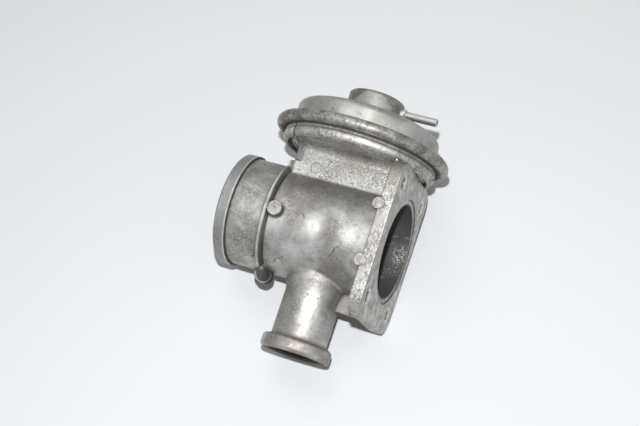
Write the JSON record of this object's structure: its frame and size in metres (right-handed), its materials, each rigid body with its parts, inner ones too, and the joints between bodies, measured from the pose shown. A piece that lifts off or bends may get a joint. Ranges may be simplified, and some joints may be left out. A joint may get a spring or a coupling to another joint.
{
  "type": "exhaust gas recirculation valve",
  "caption": "Vacuum-operated exhaust gas recirculation valve: cast duct with hose spigot, bolt flange and exhaust inlet pipe, and a crimped diaphragm actuator that lifts a poppet.",
  "frame": {"origin": "centre of the air duct's mouth in the machined face of the four-bolt flange", "axes": "+X along the duct axis, out of the flange; +Y along the valve stem towards the vacuum actuator; +Z across both"},
  "size_m": [0.1084, 0.1507, 0.0996],
  "materials": {
    "cast_aluminium": "as cast, stained",
    "cover_steel": "zinc plated, dull",
    "crimp_steel": "zinc plated, mottled",
    "nipple_steel": "plated",
    "braze": "brazed, dull",
    "valve_steel": "sooty",
    "inner_steel": "pressed",
    "spring_steel": "drawn wire",
    "bush_bronze": "sintered",
    "carbon_ring": "matt",
    "black_rubber": "matt",
    "stop_plastic": "matt"
  },
  "bodies": {
    "housing": {"body_casting": "cast_aluminium", "valve_seat": "valve_steel", "stem_guide": "bush_bronze", "stem_scraper": "carbon_ring", "scraper_cup": "inner_steel", "stem_seal": "black_rubber", "seal_retainer": "inner_steel", "diaphragm": "black_rubber", "return_spring": "spring_steel", "spring_seat": "inner_steel", "travel_stop": "stop_plastic", "cover": "cover_steel", "crimp_ring": "crimp_steel", "vacuum_nipple": "nipple_steel", "nipple_collar": "braze"},
    "valve": {"valve_stem": "valve_steel", "valve_head": "valve_steel", "stem_collar": "inner_steel", "lower_plate": "inner_steel", "upper_plate": "inner_steel", "clamp_washer": "inner_steel", "stem_nut": "inner_steel"}
  },
  "joints": [
    {"name": "valve_lift", "type": "slide", "parent": "housing", "child": "valve", "axis": [0, 1, 0], "range_m": [0, 0.007], "stiffness_N_per_m": 11000, "springref_m": -0.0005, "deforming": ["return_spring", "diaphragm"]}
  ]
}
